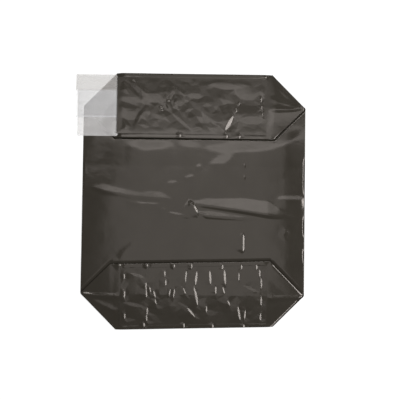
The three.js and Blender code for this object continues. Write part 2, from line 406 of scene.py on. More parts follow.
# Strips of a crumpled relief: their form, how much their slopes count, and the calm or held border
STRIP_SHARES = (0, 0.3, 0.7, 1)
STRIP_WIDTHS = np.array((0.4, 1, 1, 0.4))
STREAK_WEIGHT = 2.0
GLINT_WEIGHT = 40.0
CALM_BORDER = 8
HELD_BORDER = 6


def strip_net(strips, region, spacing, seed):
    """Net over a region and somewhat beyond it, with the sides of the strips as creases."""
    points, edges = [], []
    taken = np.zeros(X.shape, bool)
    for line, half, _ in strips:
        mark(taken, line, -half, half)
        spine, left = stations(line, STRIP_SHARES)
        for turn in (-1, 1):
            at = len(points)
            width = turn * half * STRIP_WIDTHS
            points += [tuple(p) for p in spine + width[:, None] * left]
            edges += [(at + k, at + k + 1) for k in range(len(STRIP_SHARES) - 1)]
    x0, y0, x1, y1 = region
    strewn = scattered((x0 - 30, y0 - 16, x1 + 16, y1 + 16), spacing, seed, taken)
    corners, triangles, _ = net(points + strewn, edges)
    return corners, triangles


def fitted(corners, triangles, wanted, weight, hold):
    """Heights of a net's corners that bring its facets nearest to wanted slopes, by least squares."""
    rows = np.zeros((2 * len(triangles) + len(corners), len(corners)))
    goal = np.zeros(len(rows))
    for t, triangle in enumerate(triangles):
        a, b, c = corners[triangle]
        area = twice_area(a, b, c)
        size = weight[t] * math.sqrt(abs(area))
        rows[2 * t, triangle] = size / area * np.array((b[1] - c[1], c[1] - a[1], a[1] - b[1]))
        rows[2 * t + 1, triangle] = size / area * np.array((c[0] - b[0], a[0] - c[0], b[0] - a[0]))
        goal[2 * t : 2 * t + 2] = size * wanted[t]
    rows[2 * len(triangles) :] = np.diag(hold)
    return np.linalg.lstsq(rows, goal, rcond=None)[0]


def crumpled(region, spacing, seed, plain, unrest, streaks, glints, hold):
    """Flat facets with wanted slopes, as near to them as one skin gets.

    A streak is a line, half a width and the place that its facets mirror. A glint is a line, half a width
    and a slope across the bag. Elsewhere the facets mirror the plain place, or lie level without one, with
    some unrest inside the region. Hold is how strongly heights are kept near 0, inside and at the border.
    """

    def tilt(y):
        return 0 * y if plain is None else rise(y, plain)

    scatter = random.Random(seed)
    corners, triangles = strip_net(streaks + glints, region, spacing, seed)
    middle = corners[triangles].mean(axis=1)
    x, y = middle.T
    wanted = np.array([(scatter.gauss(0, unrest), tilt(at) + scatter.gauss(0, unrest)) for at in y])
    weight = np.ones(len(triangles))
    border = inset(middle, region) < CALM_BORDER
    wanted[border] = np.stack((0 * y[border], tilt(y[border])), 1)
    for line, half, seen in streaks:
        inside = in_strip(line, -half, half, x, y)
        run_x, run_y = np.array(line[-1], float) - line[0]
        lean = -run_y / run_x if abs(run_x) > 0.5 * abs(run_y) else 0.0
        slope = rise(y[inside], seen)
        wanted[inside] = np.stack((lean * slope, slope), 1)
        weight[inside] = STREAK_WEIGHT
    for line, half, slope in glints:
        inside = in_strip(line, -half, half, x, y)
        run_x, run_y = np.array(line[-1], float) - line[0]
        wanted[inside] = (slope, -slope * run_x / run_y)
        weight[inside] = GLINT_WEIGHT
    held = np.where(inset(corners, region) < HELD_BORDER, hold[1], hold[0])
    return filled(corners, triangles, fitted(corners, triangles, wanted, weight, held))


# Meshes


def mesh_object(name, points, faces, slots):
    """A closed mesh from points in millimetres, with open ends filled and its faces turned out."""
    mesh = bpy.data.meshes.new(name)
    mesh.from_pydata([tuple(p) for p in np.asarray(points) * MM], [], faces)
    mesh.polygons.foreach_set("material_index", slots)
    form = bmesh.new()
    form.from_mesh(mesh)
    bmesh.ops.remove_doubles(form, verts=form.verts, dist=2e-6)
    bmesh.ops.dissolve_degenerate(form, dist=1e-7, edges=form.edges)
    bmesh.ops.holes_fill(form, edges=[e for e in form.edges if e.is_boundary])
    bmesh.ops.triangulate(form, faces=[f for f in form.faces if len(f.verts) > 4])
    bmesh.ops.recalc_face_normals(form, faces=form.faces)
    form.to_mesh(mesh)
    form.free()
    mesh.shade_smooth()
    mesh.set_sharp_from_angle(angle=math.radians(55))
    thing = bpy.data.objects.new(name, mesh)
    bpy.context.collection.objects.link(thing)
    return thing


def loft(name, *bodies):
    """Joins the rings of each body into a closed skin. Each body has a material slot of its own."""
    points, faces, slots = [], [], []
    for slot, rings in enumerate(bodies):
        rings = np.asarray(rings)
        count, size = rings.shape[:2]
        for i in range(count - 1):
            at = len(points) + i * size
            for k in range(size):
                n = (k + 1) % size
                faces.append((at + k, at + n, at + size + n, at + size + k))
        points += list(rings.reshape(-1, 3))
        slots += [slot] * (len(faces) - len(slots))
    return mesh_object(name, points, faces, slots)


# The two folded ends


class End:
    """One folded end. Across it, u runs from its fold line: out of the bag above 0, onto it below 0."""

    def __init__(self, sign, skew, sleeve, loose_outer, loose_inner):
        self.sign = sign
        self.skew = skew
        self.sleeve = sleeve
        self.loose_outer = loose_outer
        self.loose_inner = loose_inner

    def outer(self, x):
        """Width of the end outside its fold line."""
        return np.minimum(END_OUTER - self.skew * x, HALF_WIDTH - np.abs(x))

    def inner(self, x):
        """Width of the end on the bag."""
        return np.minimum(END_INNER + self.skew * x, HALF_WIDTH - np.abs(x))

    def y(self, u):
        """Place along the bag."""
        return self.sign * (TIP_Y + u)

    def u(self, y):
        """Place across the end."""
        return self.sign * y - TIP_Y

    def flap(self, x, depth):
        """How far a flap reaches in from its fold edge. Its ends are cut at 45 degrees."""
        return np.clip(HALF_WIDTH - np.abs(x) - depth(x), 0, FLAP_REACH)

    def raised(self, x):
        """How far the plies over the sleeve are lifted by it."""
        run = 12
        return SLEEVE_LIFT * step((SLEEVE_INNER_X + run - x) / run) if self.sleeve else 0 * x

    def tent(self, height):
        """A ridge along the end fold line that runs out at the corner tips."""
        u = self.u(Y)
        depth = np.where(u > 0, self.outer(X), self.inner(X))
        across = np.clip(1 - np.abs(u) / np.maximum(depth, 1e-3), 0, 1)
        return height * across * np.clip((HALF_WIDTH - np.abs(X)) / TENT_RUN, 0, 1)

    def support(self, limits):
        """Height that a cover patch lies at: over the flaps, and down onto the pockets at its ends."""
        u = self.u(Y)
        inner_flap, outer_flap = self.flap(X, self.inner), self.flap(X, self.outer)
        field = np.full(X.shape, PAD_HIGH)
        field[(u < inner_flap - self.inner(X)) & (inner_flap > 0)] = INNER_FLAP
        field[(u > self.outer(X) - outer_flap) & (outer_flap > 0)] = OUTER_FLAP
        field += self.raised(X)
        to_end = limits[1] - X if self.sleeve else np.minimum(X - limits[0], limits[1] - X)
        share = 0.7 + 0.3 * step(to_end / 16)
        tented = PAD_HIGH + ROOM + (OUTER_FLAP - PAD_HIGH) * share + self.raised(X)
        return np.maximum(np.maximum(field, blurred(spread(field, 8), 5)), tented)

    def settle(self, level, limits):
        """Lifts the flaps around a patch to the level of its border, and leaves them low under it."""
        self.level = level
        lift = level * (step((X - limits[0]) / 8) if self.sleeve else 1.0)
        u = self.u(Y) + self.skew * X
        depth = np.minimum(u - PATCH_INSET + END_INNER, END_OUTER - PATCH_INSET - u)
        depth = np.minimum(depth, np.minimum(X - limits[0], limits[1] - X))
        self.skin = self.form + lift * (1 - step(depth / 4))


VALVE_END = End(1, 0.0, True, loose_outer=2.2, loose_inner=0.0)
BOTTOM_END = End(-1, BOTTOM_SKEW, False, loose_outer=0.0, loose_inner=2.9)


# Reliefs


def plate(field, foot, top, slope, run):
    """Adds a flat facet that rises at a slope from a foot line to a top line, and falls over a run."""
    low, high = np.interp(X, *zip(*foot)), np.interp(X, *zip(*top))
    width = np.maximum(np.abs(high - low), 0.1)
    along = (Y - low) * np.sign(high - low)
    height = slope * width * np.clip(np.minimum(along / width, 1 - (along - width) / run), 0, 1)
    field += np.where((X >= foot[0][0]) & (X <= foot[-1][0]), height, 0)


# Plates of the half-fold across the bag: foot line, top line, slope and run
HALF_FOLD = (
    (
        [(-8, -1), (24, 5), (85, 6), (134, 1), (160, -15), (186, -26)],
        [(-8, -5), (25, -10), (86, -18), (139, -26), (186, -28)],
        0.089,
        5,
    ),
    (
        [(8, -20), (26, -15), (60, -19.6), (86, -23), (122, -29)],
        [(8, -21), (26, -29), (60, -31), (86, -32), (122, -30)],
        0.09,
        4,
    ),
    (
        [(-182, 24), (-162, 28), (-130, 22), (-97, 15), (-80, 17.5), (-60, 16.5), (-46, 10), (-38, 3)],
        [(-182, 22), (-160, 14), (-137, 10), (-114, 6), (-82, 3), (-46, 1), (-38, 0)],
        0.06,
        4.5,
    ),
    ([(-120, -1.5), (-52, -2.5)], [(-120, -2), (-94, -8), (-66, -9), (-52, -3)], 0.085, 20),
    ([(148, 4), (154, 11), (196, 11)], [(148, 3), (196, 3)], 0.085, 30),
)

# Plates beside the valve end: foot line, top line and slope
BESIDE_VALVE = (
    (
        [(-122, 102), (-95, 107), (-60, 107), (-36, 101)],
        [(-122, 101), (-90, 90), (-60, 92), (-36, 99)],
        0.054,
    ),
    ([(-30, 104), (-10, 107), (14, 99)], [(-30, 103), (-8, 96), (14, 98)], 0.056),
    (
        [(14, 95), (40, 100), (84, 108), (136, 110), (165, 124), (190, 126)],
        [(14, 94), (58, 84), (92, 88), (136, 92), (174, 107), (190, 124)],
        0.05,
    ),
    ([(24, 66), (46, 82), (72, 83)], [(24, 65), (56, 66), (72, 82)], 0.06),
)
BESIDE_VALVE_RUN = 60


def front_panel():
    """Height of the front panel above its flat level."""
    to_valve = 0.025 * np.clip(Y - 62, 0, 50) - 0.006 * np.clip(Y + 20, 0, 82)
    swell = to_valve + 0.6 * step((135 + Y) / 60)
    calm = step((HALF_WIDTH - np.abs(X)) / 60) * step((100 - np.abs(Y)) / 40)
    waves = facets((-210, -130, 210, 130), spacing=40, relief=0.5, seed=4)
    field = AIR + swell + calm * blurred(waves, 5)
    for foot, top, slope, run in HALF_FOLD:
        plate(field, foot, top, slope, run)
    beside = np.zeros(X.shape)
    for foot, top, slope in BESIDE_VALVE:
        plate(beside, foot, top, slope, BESIDE_VALVE_RUN)
    field += blurred(beside, 2.5)
    # lengthwise packing crease
    add_ridge(field, [(89, -52), (89, 82)], 0.15, 14, 2.4, 0.1, sharp=True)
    for y in (42, 63):
        add_ridge(field, [(91, y - 4), (91, y + 4)], 0.6, 3, 1.5, 0.4, sharp=True)
    add_ridge(field, [(89, -94), (89, -55)], 1.1, 16, 3.3, 0.3, sharp=True)
    # short creases around the middle of the half-fold
    add_ridge(field, [(-8, 3), (1, -13), (10, -31)], 1.85, 4.8, 30, 0.5, sharp=True)
    add_ridge(field, [(4, -20), (13, -24), (27, -29)], 0.5, 4.0, 12, sharp=True)
    add_ridge(field, [(-64, -15), (-45, -18)], 0.42, 3.6, 12, 0.5, sharp=True)
    add_ridge(field, [(-49, -22), (-4, -30)], 0.7, 3, 10, sharp=True)
    for line in (((-18, 39), (2, 44)), ((2, 59), (15, 63)), ((-50, 29), (-27, 32))):
        add_ridge(field, line, 0.32, 4.6, 9, 0.5)
    # low rounded folds towards the bottom end
    add_ridge(field, [(-98, -74), (-132, -106)], 0.4, 7, 12)
    add_ridge(field, [(156, -63), (167, -48)], 0.8, 3.4, 16)
    # low at the valve corner and towards the right side fold
    field *= 1 - 0.85 * np.clip((-110 - X) / 90, 0, 1) ** 1.5 * step((Y + 10) / 110)
    field = np.maximum(field - blurred(0.025 * np.clip(X - 168, 0, 50), 4), 0.3)
    # width of the bend at the side folds, which are rounder in a few places
    side = np.full(X.shape, 0.9)
    for y0, y1 in ((17, 75), (-60, -30), (-106, -88)):
        side += 1.2 * step((Y - y0 + 12) / 24) * step((y1 + 12 - Y) / 24)
    return blurred(field, 0.9) * step((HALF_WIDTH - np.abs(X)) / side)


# Streaks of the valve end's patch: line, half width and what they mirror
VALVE_STREAKS = [
    # in front of the sleeve
    (((-127, 212), (-99, 185)), 3.5, DARK),
    (((-119, 215), (-90, 186)), 4.0, LIGHT),
    (((-109, 214), (-80, 189)), 3.5, DARK),
    (((-93, 183), (-53, 183)), 8.5, LIGHT),
    (((-132, 179), (-99, 179)), 5.0, LIGHT),
    (((-131, 168), (-102, 166)), 4.0, DARK),
    (((-130, 150), (-98, 151)), 8.0, LIGHT),
    (((-104, 148), (-87, 166)), 3.0, DARK),
    (((-77, 152), (-54, 146)), 4.0, LIGHT),
    # in the middle
    (((-67, 197), (-44, 200)), 4.0, DARK),
    (((-51, 183), (-41, 165)), 3.5, DARK),
    (((-53, 218), (-36, 203)), 3.5, DARK),
    (((-31, 218), (-18, 208)), 3.0, DARK),
    (((-13, 188), (14, 187)), 5.0, LIGHT),
    (((-40, 155), (-21, 139), (-6, 126)), 3.0, LIGHT),
    (((12, 160), (31, 131)), 3.0, LIGHT),
    (((34, 207), (88, 207)), 7.0, LIGHT),
    (((60, 217), (74, 210)), 2.5, DARK),
    # towards the corner tip
    (((83, 146), (126, 144)), 7.0, LIGHT),
    (((82, 165), (121, 165)), 7.0, DARK),
    (((80, 187), (115, 188)), 6.0, LIGHT),
]

# Steep strips of the valve end's patch, and its small crests
VALVE_GLINTS = [
    glint(((69, 151), (55, 125)), 6.8),
    glint(((120, 187), (120, 178)), 4.0),
    glint(((120, 173), (121, 163)), 4.2),
    glint(((121, 160), (123, 151)), 2.6),
]
VALVE_CRESTS = [
    crest(((-57, 169), (-63, 160)), 2.4, 6),
    crest(((80, 179), (78, 170)), 2.6, 5),
    crest(((76, 168), (72, 155)), 3.0, 5),
]


def valve_crumples():
    """Broad form of the valve end, and the finer crumpling of its patch."""
    region = (VALVE_PATCH_X[0], 118, VALVE_PATCH_X[1], 221)
    field = crumpled(
        region,
        spacing=8,
        seed=4,
        plain=PLAIN,
        unrest=0.08,
        streaks=VALVE_STREAKS,
        glints=VALVE_GLINTS,
        hold=(0.02, 0.02),
    )
    field = field + folded(region, VALVE_CRESTS)
    knot = facets((-60, 152, -10, 208), spacing=6, relief=0.6, seed=2)
    field += knot * step((24 - np.hypot((X + 35) / 1.1, Y - 182)) / 12)
    broad = blurred(field, 12)
    inside = in_box(region)
    field -= broad
    broad -= broad[inside].min()
    broad *= step((X + 176) / 32) * step((158 - X) / 38)
    return broad, blurred(field - field[inside].min(), 0.4)


# Steep strips of the bottom end's patch, short ones down through spots, and its bright streaks
BOTTOM_GLINTS = [
    glint(((8, -126), (6, -150)), 4.6),
    glint(((31, -125), (33, -149)), 4.6),
    glint(((57, -123), (59, -148)), 4.6),
    glint(((83, -127), (83, -143)), 2.4),
    glint(((-38, -156), (-41, -172)), 2.6),
    glint(((-31, -156), (-33, -175)), 2.8),
    glint(((-17, -154), (-10, -168)), 2.8),
    glint(((3, -154), (8, -170), (10, -186)), 4.4),
    glint(((42, -152), (42, -166)), 3.6),
    glint(((54, -152), (58, -165)), 3.0),
    glint(((-76, -154), (-73, -166)), 3.0),
    glint(((-69, -160), (-65, -174)), 3.4),
    glint(((-66, -177), (-63, -186)), 2.8),
    glint(((-9, -190), (6, -207)), 4.0),
    glint(((63, -177), (68, -186)), 3.0),
    glint(((82, -188), (86, -211)), 4.0),
    glint(((95, -193), (94, -210)), 3.0),
]
BOTTOM_SPOTS = [(-82, -153), (-81, -167), (-79, -197), (-80, -210), (-49, -131), (-47, -147)]
BOTTOM_SPOTS += [(-11, -132), (26, -193), (-121, -137), (-120, -167), (-119, -207)]
BOTTOM_SPOTS += [(120, -128), (123, -145), (123, -178), (122, -206)]
BOTTOM_STREAKS = [
    (((-110, -131), (-86, -138)), 2.5, LIGHT),
    (((-118, -184), (-90, -189)), 2.5, LIGHT),
    (((94, -151), (116, -161)), 3.5, LIGHT),
]


def bottom_creases():
    """Level of the bottom end's patch at its border, and its relief: flat but for short steep folds."""
    region = (BOTTOM_PATCH_X[0], -219, BOTTOM_PATCH_X[1], -117)
    field = crumpled(
        region,
        spacing=10,
        seed=3,
        plain=None,
        unrest=0.03,
        streaks=BOTTOM_STREAKS,
        glints=BOTTOM_GLINTS + [glint(((x, y + 6), (x, y - 6)), 3.2) for x, y in BOTTOM_SPOTS],
        hold=(0.5, 5.0),
    )
    level = -field[in_box(region)].min()
    return level, blurred(field + level, 0.4)


def end_forms():
    """Relief that the flaps, pockets and patch of each end share."""
    flap = step((150 - np.abs(X)) / 40)
    valve = np.where(X > 0, 3.0, 1.0) * VALVE_END.tent(1.0) * (1 - flap)
    add_ridge(valve, [(197, 168), (165, 176), (132, 184)], 0.45, 5, 9, 0.3, sharp=True)
    add_ridge(valve, [(197, 167), (165, 165), (128, 164)], 0.35, 4, 7, 0.3, sharp=True)
    add_ridge(valve, [(196, 170), (172, 187), (150, 206)], 0.4, 8, 8, 0.3)
    valve += folded((-150, 100, 150, 130), dots(((-27, 116), (57, 116), (80, 116)), 7, 4.2))
    valve += folded((95, 212, 150, 236), dots(((126, 224),), 5, 4.0))
    bottom = BOTTOM_END.tent(2.2) + np.where(X < 0, 0.015, 0.005) * np.clip(np.abs(X) - 140, 0, 60)
    add_ridge(bottom, [(-200, -168), (-172, -171), (-130, -171)], 1.5, 4.6, 8, 0.1)
    add_ridge(bottom, [(135, -171), (182, -170), (200, -168)], 1.3, 4, 8, 0.1)
    add_ridge(bottom, [(-190, -175), (-157, -190), (-131, -201)], 0.5, 8, 6, 0.3)
    add_ridge(bottom, [(138, -111), (196, -168)], 0.55, 2.4, 20, 0.1, sharp=True)
    add_ridge(bottom, [(199.5, -168.5), (140, -228)], -1.1, 4, ends=0.1)
    inner = dots([(x, -117) for x in (-131, -82, -34, -3, 52, 86, 113)], 7, 4.0)
    outer = dots([(x, -223) for x in (-86, -15, 36, 91)], 7, 4.0)
    bottom += folded((-160, -128, 160, -100), inner) + folded((-160, -236, 160, -210), outer)
    return blurred(valve, 0.4), blurred(bottom, 0.4)


def film_form():
    """Relief of the film: over the pocket and the front panel, and bulging where no patch holds it."""
    beside = Y < TIP_Y - VALVE_END.inner(X)
    lift = np.where(beside, np.maximum(0, PANELS + PANEL + ROOM - PAD_HIGH), VALVE_END.form)
    lift = blurred(spread(lift, 2), 2)
    low_edge, high_edge = 113, TIP_Y + END_OUTER
    bulge = 0.0004 * np.clip(Y - low_edge, 0, UNDER_FLAP_Y - low_edge) ** 2 + 0.3
    bulge *= np.clip((high_edge - Y) / (high_edge - UNDER_FLAP_Y), 0, 1)
    return lift + np.maximum(0, bulge + 0.6 - lift) * step((-140.5 - X) / 4)


PANEL = front_panel()
VALVE_END.form, BOTTOM_END.form = end_forms()
VALVE_BROAD, VALVE_END.crumple = valve_crumples()
VALVE_END.form += VALVE_BROAD
VALVE_END.film = film_form()
BOTTOM_LEVEL, BOTTOM_END.crumple = bottom_creases()
VALVE_END.settle(VALVE_LEVEL, VALVE_PATCH_X)
BOTTOM_END.settle(BOTTOM_LEVEL, BOTTOM_PATCH_X)


# The folded tube


def arc(u, z_from, z_to, bulge, count):
    """Points of a half-round bend between two heights, bulging out from u."""
    angles = np.linspace(-math.pi / 2, math.pi / 2, count)
    middle, half = (z_from + z_to) / 2, (z_to - z_from) / 2
    return [(u + bulge * math.cos(a), middle + half * math.sin(a)) for a in angles]


def turned_arc(u, z_from, z_to, bulge, count):
    """The same bend, bulging to the other side and from its upper end down."""
    return [(2 * u - at, z) for at, z in reversed(arc(u, z_from, z_to, bulge, count))]


def end_section(end, x):
    """Section of an end at x, from the outer edge on the floor to the front panel under the pad."""
    outer, inner = float(end.outer(x)), float(end.inner(x))
    outer_flap, inner_flap = float(end.flap(x, end.outer)), float(end.flap(x, end.inner))
    outer_lift, inner_lift = float(step(outer_flap / FLAP_RUN)), float(step(inner_flap / FLAP_RUN))
    raised = float(end.raised(x))
    outer_top = PAD_HIGH + outer_lift * (OUTER_FLAP - PAD_HIGH) + outer_lift * raised
    inner_top = PAD_HIGH + inner_lift * (INNER_FLAP - PAD_HIGH) + inner_lift * raised
    loose = float(step((x - LOOSE_X) / LOOSE_RUN))
    outer_bend = min(NOSE + end.loose_outer * loose, NOSE_SHARE * outer)
    inner_bend = min(NOSE + end.loose_inner * loose, NOSE_SHARE * inner)
    near_outer, near_inner = outer - outer_bend, inner_bend - inner
    # outer flap, out to its free edge and back under it
    points = arc(near_outer, 0.0, outer_top, outer_bend, BEND_POINTS)
    free = min(near_outer, outer - outer_flap)
    points += [(u, outer_top) for u in near_outer + (free - near_outer) * FLAP_POINTS]
    under = np.linspace(free, near_outer, UNDER_FLAP_POINTS)
    points += [(u, outer_top - FABRIC * outer_lift) for u in under]
    points.append((near_outer + 0.5 * outer_bend, (outer_top + PAD_HIGH) / 2))
    # top of the pad
    points += [(u, PAD_HIGH) for u in np.linspace(near_outer, near_inner, PAD_POINTS)]
    # inner flap, the same way round, and down its bend to the underside of the pad
    points.append((near_inner - 0.5 * inner_bend, (inner_top + PAD_HIGH) / 2))
    free = max(near_inner, inner_flap - inner)
    under = np.linspace(near_inner, free, UNDER_FLAP_POINTS)
    points += [(u, inner_top - FABRIC * inner_lift) for u in under]
    points += [(u, inner_top) for u in free + (near_inner - free) * (1 - FLAP_POINTS[::-1])]
    points += turned_arc(near_inner, PAD_LOW, inner_top, inner_bend, BEND_POINTS)
    points += [(u, PAD_LOW) for u in np.linspace(near_inner, -SHORT_OF_FOLD * min(1, inner), 5)]
    u, z = np.array(points).T
    column, y = np.full(u.shape, x), end.y(u)
    z = z + sampled(end.skin, column, y) * step((z - PAD_LOW) / (PAD_HIGH - PAD_LOW))
    # flattened at the corner tips
    tip = 0.5 * PANELS
    z = tip + (z - tip) * min(1.0, outer / TIP_RUN)
    return np.stack((column, y, z), 1)


def wall(gap, width):
    """Rise of the panel out of the groove beside a folded end, steep at first."""
    t = np.clip(gap / width, 0, 1)
    return 1 - (1 - t) ** 2


def panel_section(x, half):
    """Section of the front panel at x, from under the valve end to under the bottom end."""
    top, low = (TIP_Y - float(end.inner(x)) for end in (VALVE_END, BOTTOM_END))
    y = [TIP_Y - SHORT_OF_FOLD]
    y += [top + (TIP_Y - top) * share for share in UNDER_END]
    y += [top - gap for gap in BESIDE_END]
    y += list(np.linspace(top - PAST_BESIDE, PAST_BESIDE - low, PANEL_POINTS))
    y += [gap - low for gap in reversed(BESIDE_END)]
    y += [(low - TIP_Y) * share - low for share in reversed(UNDER_END)]
    y = np.array(y + [SHORT_OF_FOLD - TIP_Y])
    slanted = abs(x) > HALF_WIDTH - END_INNER
    slant = math.sqrt(0.5) if slanted else 1.0
    valve_wall = SLANTED_WALL if slanted else VALVE_WALL
    climb = wall((top - y) * slant, valve_wall) * wall((low + y) * slant, BOTTOM_WALL)
    column = np.full(y.shape, x)
    z = 0.5 * PANELS + half + sampled(PANEL, column, y) * climb
    return np.stack((column, y, z), 1)


# Share of its thickness that the tube keeps at its side folds
BLUNT = 0.15


def shell_columns():
    """Places across the bag of the shell's rings, closest at the side folds."""
    inside = (np.linspace(-198, -147, 18), np.arange(-145, 146, 1.25), np.linspace(148, 198, 18))
    edge = np.array([198.8, 199.4, 199.8, 199.95, 200.0])
    return np.concatenate((-edge[::-1], *inside, edge))


def bag_shell():
    """The folded tube as one closed skin, of rings round its back, ends and front panel."""
    rings = []
    for x in shell_columns():
        side = max(0.0, abs(x) - (HALF_WIDTH - PANELS / 2)) / (PANELS / 2)
        half = 0.5 * PANELS * (BLUNT + (1 - BLUNT) * math.sqrt(max(0.0, 1 - side * side)))
        valve, bottom = end_section(VALVE_END, x), end_section(BOTTOM_END, x)
        back = np.linspace(bottom[0][1], valve[0][1], 8)[1:-1]
        under = np.stack((np.full(back.shape, x), back, np.full(back.shape, 0.5 * PANELS - half)), 1)
        rings.append(np.concatenate((under, valve, panel_section(x, half), bottom[::-1])))
    return loft("bag_shell", rings)


# Patches and sleeve


def patch(name, end, limits, border):
    """A thin sheet over the flaps of an end, crumpled by that end's relief inside its border."""
    grid_x = np.linspace(*limits, PATCH_GRID[0])
    grid_u = np.linspace(PATCH_INSET - END_INNER, END_OUTER - PATCH_INSET, PATCH_GRID[1])
    x, u = np.meshgrid(grid_x, grid_u, indexing="ij")
    y = end.y(u - end.skew * x)
    # the border is narrower at the right end
    to_edge = np.minimum(x - limits[0], 1.5 * (limits[1] - x))
    to_edge = np.minimum(to_edge, np.minimum(u - grid_u[0], grid_u[-1] - u))
    low = sampled(end.support(limits) + end.form, x, y) + PATCH_LIFT
    low += end.level + (sampled(end.crumple, x, y) - end.level) * step(to_edge / border)
    top = np.stack((x, y, low + FABRIC), -1)
    bottom = np.stack((x, y, low), -1)
    rings = [np.concatenate((below, above[::-1])) for below, above in zip(bottom, top)]
    return loft(name, rings)


def sleeve_plies(x):
    """The plies of the sleeve across it at x: the folded lower one, then the one over it."""
    base, under, upper = (PAD_HIGH + FILM_ROOM + k * FILM_STEP for k in range(3))
    pressed = max(0.0, x - VALVE_PATCH_X[0] + 2)
    fold = TIP_Y - END_INNER + SLEEVE_INSET + 0.7 * max(0.0, x - VALVE_PATCH_X[0]) + 1
    high = TIP_Y + END_OUTER - SLEEVE_INSET - min(2.5 * pressed, 5 + 0.5 * pressed)
    free = UNDER_FLAP_Y - 0.5 * pressed
    lower = [(y, under) for y in np.linspace(free, fold, 30)]
    lower += turned_arc(fold, base, under, 1.0, 5)
    lower += [(y, base) for y in np.linspace(fold + 0.5, free + 1, 30)]
    over = [(y, upper) for y in np.linspace(high, UPPER_FLAP_Y + 0.3 * pressed, 40)]
    return np.array(lower), np.array(over)


def film_ring(x, line, upper):
    """Outline of a ply at x, lifted by the forms under it. The upper ply has a lip and a lifted edge."""
    y, z = line.T
    out = np.full(y.shape, x)
    z = z + sampled(VALVE_END.film, out, y) - step(max(0.0, -HALF_WIDTH - x) / 22)
    if upper:
        z += EDGE_LIFT * step((UPPER_FLAP_Y + EDGE_RUN - y) / EDGE_RUN) * step((-158 - x) / 20)
        out -= SLEEVE_LIP * step((SLEEVE_LIP_X - x) / (SLEEVE_LIP_X - SLEEVE_MOUTH_X))
    line = np.stack((y, z), 1)
    along = np.gradient(line, axis=0)
    along /= np.linalg.norm(along, axis=1, keepdims=True)
    normal = np.stack((-along[:, 1], along[:, 0]), 1) * FILM / 2
    return np.concatenate([np.stack((out, *(line + turn * normal).T), 1)[::turn] for turn in (1, -1)])


def sleeve_film():
    """Film of the valve: a lower part that is folded over on itself and an upper part that overlaps it."""
    held = np.linspace(-145, -138, 15)
    columns = (np.linspace(SLEEVE_MOUTH_X, -146, 44), held, np.linspace(-135, SLEEVE_INNER_X, 16))
    lower, over = [], []
    for x in np.concatenate(columns):
        plies = sleeve_plies(x)
        lower.append(film_ring(x, plies[0], False))
        over.append(film_ring(x, plies[1], True))
    return loft("sleeve_film", lower, over)


# Materials


def principled(name):
    """A new material with its node tree and shader."""
    material = bpy.data.materials.new(name)
    material.use_nodes = True
    return material, material.node_tree, material.node_tree.nodes["Principled BSDF"]


def link(tree, *pairs):
    """Links each source socket to its target."""
    for source, target in pairs:
        tree.links.new(source, target)


def add_node(tree, kind, **values):
    """Adds a shader node. Values go to inputs of that name, or else to settings of the node."""
    node = tree.nodes.new(kind)
    for key, value in values.items():
        socket = node.inputs.get(key.replace("_", " "))
        if socket is not None:
            socket.default_value = value
        else:
            setattr(node, key, value)
    return node


def calculated(tree, operation, first, second=None):
    """A maths node on sockets or plain numbers."""
    node = add_node(tree, "ShaderNodeMath", operation=operation)
    for socket, value in zip(node.inputs, (first, second)):
        if isinstance(value, (int, float)):
            socket.default_value = value
        elif value is not None:
            link(tree, (value, socket))
    return node.outputs[0]


def noise(tree, place, scale, detail=2.0):
    """A noise over a place."""
    node = add_node(tree, "ShaderNodeTexNoise", Scale=scale, Detail=detail)
    link(tree, (place, node.inputs["Vector"]))
    return node.outputs["Fac"]


def ramp(tree, value, start, end, low, high):
    """Goes from low to high while a value goes from start to end."""
    node = add_node(tree, "ShaderNodeMapRange", From_Min=start, From_Max=end, To_Min=low, To_Max=high)
    link(tree, (value, node.inputs["Value"]))
    return node.outputs["Result"]


# The part of a noise's range that most of it lies in
NOISE_LOW = 0.3
NOISE_HIGH = 0.7


def between(tree, factor, low, high):
    """Spreads the middle of a noise over a range of values."""
    return ramp(tree, factor, NOISE_LOW, NOISE_HIGH, low, high)


def bump(tree, height, distance):
    """A bump of a distance in millimetres."""
    node = add_node(tree, "ShaderNodeBump", Strength=1.0, Distance=distance * MM)
    link(tree, (height, node.inputs["Height"]))
    return node


def faced_fabric(name, roughness):
    """Charcoal fabric of flat tapes under a glossy film: the tapes show through as a faint relief."""
    material, tree, shader = principled(name)
    place = add_node(tree, "ShaderNodeTexCoord").outputs["Object"]
    axes = add_node(tree, "ShaderNodeSeparateXYZ")
    link(tree, (place, axes.inputs[0]))
    turns = math.pi / (TAPE * MM)
    phases = [calculated(tree, "MULTIPLY", axes.outputs[k], turns) for k in (0, 1)]
    weave = calculated(tree, "MULTIPLY", *(calculated(tree, "SINE", phase) for phase in phases))
    tapes = bump(tree, weave, TAPE_RELIEF)
    ripples = bump(tree, noise(tree, place, 45, 3), RIPPLE_RELIEF)
    link(tree, (tapes.outputs[0], ripples.inputs["Normal"]), (ripples.outputs[0], shader.inputs["Normal"]))
    tones = add_node(tree, "ShaderNodeValToRGB")
    for stop, at, colour in zip(tones.color_ramp.elements, (NOISE_LOW, NOISE_HIGH), FABRIC_TONES):
        stop.position = at
        stop.color = (*colour, 1)
    link(tree, (noise(tree, place, 22, 4), tones.inputs[0]))
    link(tree, (tones.outputs[0], shader.inputs["Base Color"]))
    link(tree, (between(tree, noise(tree, place, 60), *roughness), shader.inputs["Roughness"]))
    shader.inputs["Specular Tint"].default_value = (*FACING_TINT, 1)
    return material


# Sockets of a mix node that mixes colours
MIX_FACTOR = 0
MIX_FIRST = 6
MIX_SECOND = 7
MIX_RESULT = 2


